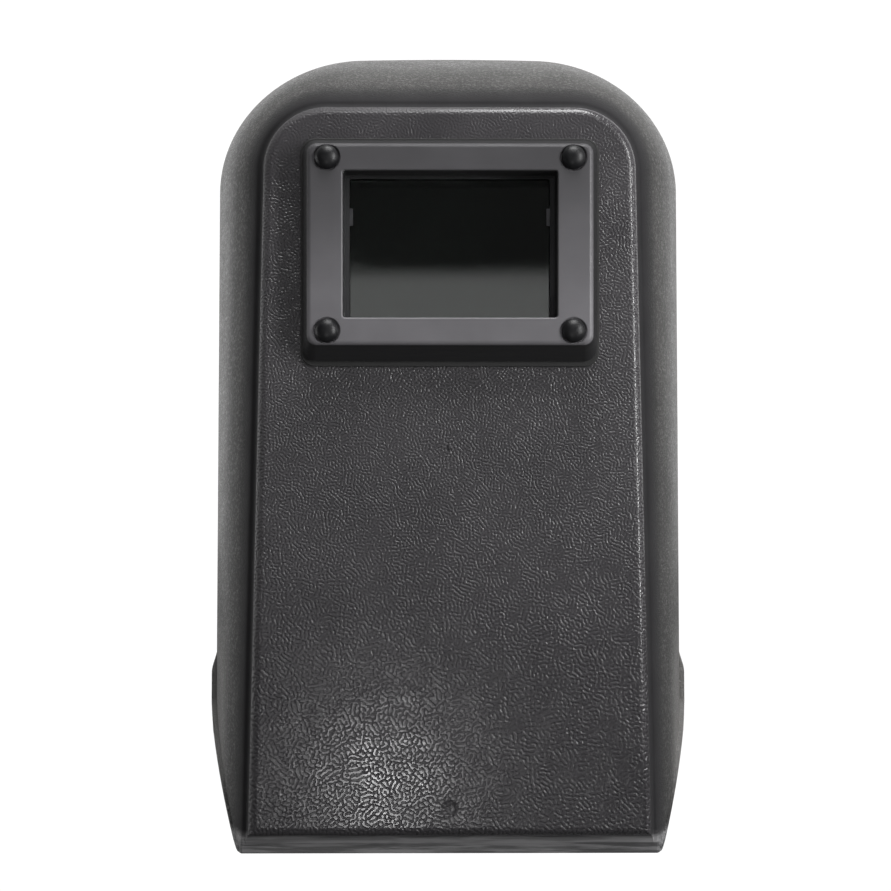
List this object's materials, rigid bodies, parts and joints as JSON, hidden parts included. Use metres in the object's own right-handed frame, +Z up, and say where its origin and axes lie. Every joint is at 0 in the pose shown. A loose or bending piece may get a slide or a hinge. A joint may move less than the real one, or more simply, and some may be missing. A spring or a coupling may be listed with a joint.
{
  "type": "hand-held welding helmet",
  "caption": "Hand-held arc welding helmet: deep moulded face shield with a riveted window frame, clamped dark lens pack and an inside grip.",
  "frame": {"origin": "centre of the hand grip, in the shield's middle plane", "axes": "+Z up along the grip towards the crown, +Y back towards the wearer's face, +X to the right as seen from the front"},
  "size_m": [0.2468, 0.1155, 0.3916],
  "materials": {
    "shell_plastic": "black moulded polypropylene with a leather-like grain on the front panel",
    "frame_plastic": "smooth black moulded plastic with a semi-matte sheen",
    "rivet_plastic": "smooth black plastic dome heads",
    "holder_plastic": "fine satin black moulded plastic",
    "rubber": "dull black rubber",
    "grip_rubber": "ribbed dull black rubber",
    "clear_glass": "clear flat glass",
    "clear_plastic": "clear flat plastic plate",
    "filter_glass": "very dark green welding filter glass",
    "fibre_ring": "brown pressed fibre",
    "zinc_steel": "bright zinc-plated steel",
    "spring_steel": "plain spring steel"
  },
  "bodies": {
    "shield": {"shell": "shell_plastic", "window_frame": "frame_plastic", "frame_gasket": "rubber", "lens_holder": "holder_plastic", "leaf_spring_left": "spring_steel", "leaf_spring_right": "spring_steel", "handle_core": "holder_plastic", "grip_sleeve": "grip_rubber", "handle_screw_upper": "zinc_steel", "handle_screw_lower": "zinc_steel", "handle_washer_upper": "zinc_steel", "handle_washer_lower": "zinc_steel", "rivet_upper_left": "rivet_plastic", "lock_washer_upper_left": "spring_steel", "rivet_upper_right": "rivet_plastic", "lock_washer_upper_right": "spring_steel", "rivet_lower_left": "rivet_plastic", "lock_washer_lower_left": "spring_steel", "rivet_lower_right": "rivet_plastic", "lock_washer_lower_right": "spring_steel"},
    "lens_pack": {"lens_gasket": "rubber", "cover_glass": "clear_glass", "lens_spacer": "fibre_ring", "filter_glass": "filter_glass", "inner_cover_plate": "clear_plastic", "retaining_frame": "zinc_steel"},
    "bail": {"bail": "spring_steel"}
  },
  "joints": [
    {"name": "bail_hinge", "type": "hinge", "parent": "shield", "child": "bail", "pos_m": [0, -0.0252, 0.1385], "axis": [-1, 0, 0], "range_deg": [0, 110]},
    {"name": "lens_pack_release", "type": "slide", "parent": "shield", "child": "lens_pack", "axis": [0, 1, 0], "range_m": [0, 0.0015]}
  ],
  "couplings": [
    {"joint": "lens_pack_release", "follows": "bail_hinge", "m_per_rad": 0.00078}
  ]
}
